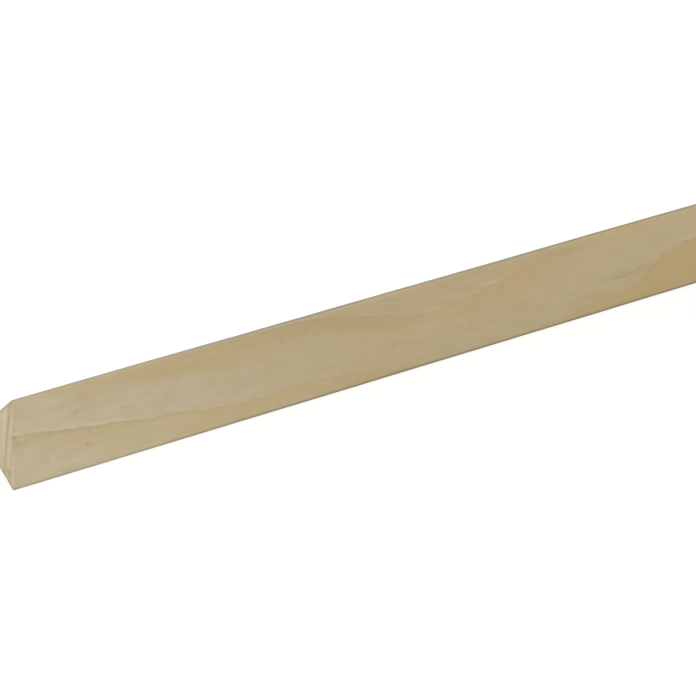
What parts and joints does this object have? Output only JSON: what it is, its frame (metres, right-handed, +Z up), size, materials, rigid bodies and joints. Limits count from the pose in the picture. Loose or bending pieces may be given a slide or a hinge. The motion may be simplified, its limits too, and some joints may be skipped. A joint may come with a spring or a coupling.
{
  "type": "triangular wood fillet",
  "caption": "Planed softwood strip with a right-angled triangular section and eased arrises, fixed into corners of formwork, roofing and joinery.",
  "frame": {"origin": "middle of the square face that the strip lies on", "axes": "+X along the strip's length, +Y from the upright face to the back, +Z up"},
  "size_m": [1, 0.025, 0.025],
  "materials": {
    "planed_softwood": "planed, unfinished"
  },
  "bodies": {
    "root": {"triangular_fillet": "planed_softwood"}
  },
  "joints": []
}
